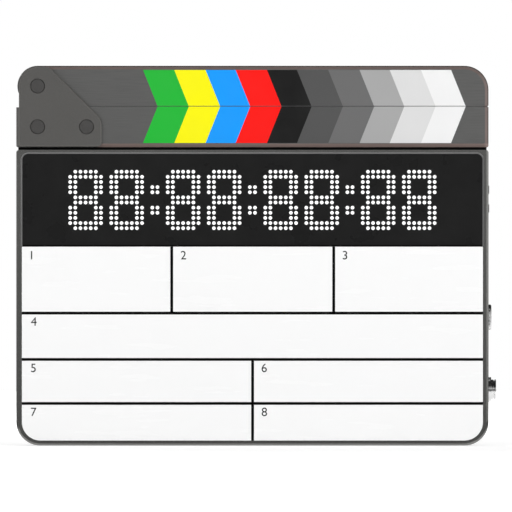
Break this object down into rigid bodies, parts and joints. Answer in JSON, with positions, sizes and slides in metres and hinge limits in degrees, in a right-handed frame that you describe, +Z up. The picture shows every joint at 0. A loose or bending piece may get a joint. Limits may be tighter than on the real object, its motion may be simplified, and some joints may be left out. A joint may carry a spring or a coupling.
{
  "type": "clapperboard",
  "caption": "Film clapperboard with a hinged striped clapper stick, a dot-matrix timecode display, a ruled white writing board and a rear battery pod.",
  "frame": {"origin": "on the base face, midway along the frame's width and depth", "axes": "+X right as seen from the front, +Y from the writing board to the back, +Z up"},
  "size_m": [0.2541, 0.031, 0.2011],
  "materials": {
    "frame_metal": "gunmetal anodised",
    "board_white": "dry-wipe white",
    "display_black": "black display face",
    "dot_white": "white light dots",
    "board_green": "circuit board",
    "stick_metal": "taupe grey satin anodised",
    "stripe_print": "printed chevron tiles",
    "black_rubber": "matt black",
    "steel": "plain steel",
    "hinge_metal": "dark grey satin anodised",
    "rivet_steel": "blackened steel",
    "bronze": "bearing bronze",
    "nylon": "natural nylon",
    "nickel": "nickel plate",
    "cover_plastic": "dark moulded plastic",
    "cell_wrap": "plain sleeve",
    "chip_black": "black moulding",
    "lens_clear": "clear lens",
    "control_plastic": "black control plastic",
    "button_grey": "grey button plastic",
    "chrome": "bright chrome"
  },
  "bodies": {
    "chassis": {"front_frame": "frame_metal", "writing_board": "board_white", "display_panel": "display_black", "led_dots": "dot_white", "led_board": "board_green", "lower_stick": "stick_metal", "lower_stripes": "stripe_print", "stick_rail": "black_rubber", "stick_screws": "steel", "front_hinge_plate": "hinge_metal", "rear_hinge_plate": "hinge_metal", "plate_rivets": "rivet_steel", "pivot_rivet": "rivet_steel", "stop_pin": "steel", "lower_magnets": "nickel", "rear_cover": "cover_plastic", "cover_screws": "steel", "battery_pod": "cover_plastic", "pod_screws": "steel", "grip_pads": "black_rubber", "battery_cells": "cell_wrap", "battery_contacts": "nickel", "door_pin": "steel", "main_board": "board_green", "main_board_chips": "chip_black", "ribbon_cable": "nylon", "control_board": "board_green", "board_screws": "steel", "status_lens": "lens_clear", "status_display": "chip_black", "encoder_body": "chip_black", "key_switches": "chip_black", "power_base": "chip_black", "side_switches": "chip_black", "button_board": "board_green", "jack_body": "chip_black", "jack_nut": "chrome", "plug_shell": "chrome", "plug_insulator": "chip_black", "plug_nut": "nickel", "usb_socket": "nickel", "port_board": "board_green", "tripod_sockets": "nickel"},
    "clapper": {"upper_stick": "stick_metal", "upper_stripes": "stripe_print", "pivot_bush": "bronze", "thrust_washers": "nylon", "upper_magnets": "nickel"},
    "battery_door": {"battery_door": "cover_plastic"},
    "menu_dial": {"menu_dial": "control_plastic", "encoder_shaft": "steel"},
    "upper_key": {"upper_key": "control_plastic"},
    "lower_key": {"lower_key": "control_plastic"},
    "power_knob": {"power_knob": "control_plastic"},
    "upper_side_button": {"upper_side_button": "button_grey"},
    "lower_side_button": {"lower_side_button": "button_grey"}
  },
  "joints": [
    {"name": "clapper_hinge", "type": "hinge", "parent": "chassis", "child": "clapper", "pos_m": [-0.1137, 0, 0.19037], "axis": [0, -1, 0], "range_deg": [0, 60]},
    {"name": "battery_door_hinge", "type": "hinge", "parent": "chassis", "child": "battery_door", "pos_m": [0, 0.0189, 0.0756], "axis": [1, 0, 0], "range_deg": [0, 95]},
    {"name": "menu_dial_turn", "type": "hinge", "parent": "chassis", "child": "menu_dial", "pos_m": [-0.042, 0, 0.1335], "axis": [0, 1, 0], "continuous": true},
    {"name": "upper_key_press", "type": "slide", "parent": "chassis", "child": "upper_key", "axis": [0, -1, 0], "range_m": [0, 0.0005], "stiffness_N_per_m": 400},
    {"name": "lower_key_press", "type": "slide", "parent": "chassis", "child": "lower_key", "axis": [0, -1, 0], "range_m": [0, 0.0005], "stiffness_N_per_m": 400},
    {"name": "power_knob_slide", "type": "slide", "parent": "chassis", "child": "power_knob", "axis": [1, 0, 0], "range_m": [0, 0.004]},
    {"name": "upper_side_button_press", "type": "slide", "parent": "chassis", "child": "upper_side_button", "axis": [-1, 0, 0], "range_m": [0, 0.00035], "stiffness_N_per_m": 500},
    {"name": "lower_side_button_press", "type": "slide", "parent": "chassis", "child": "lower_side_button", "axis": [-1, 0, 0], "range_m": [0, 0.00035], "stiffness_N_per_m": 500}
  ]
}
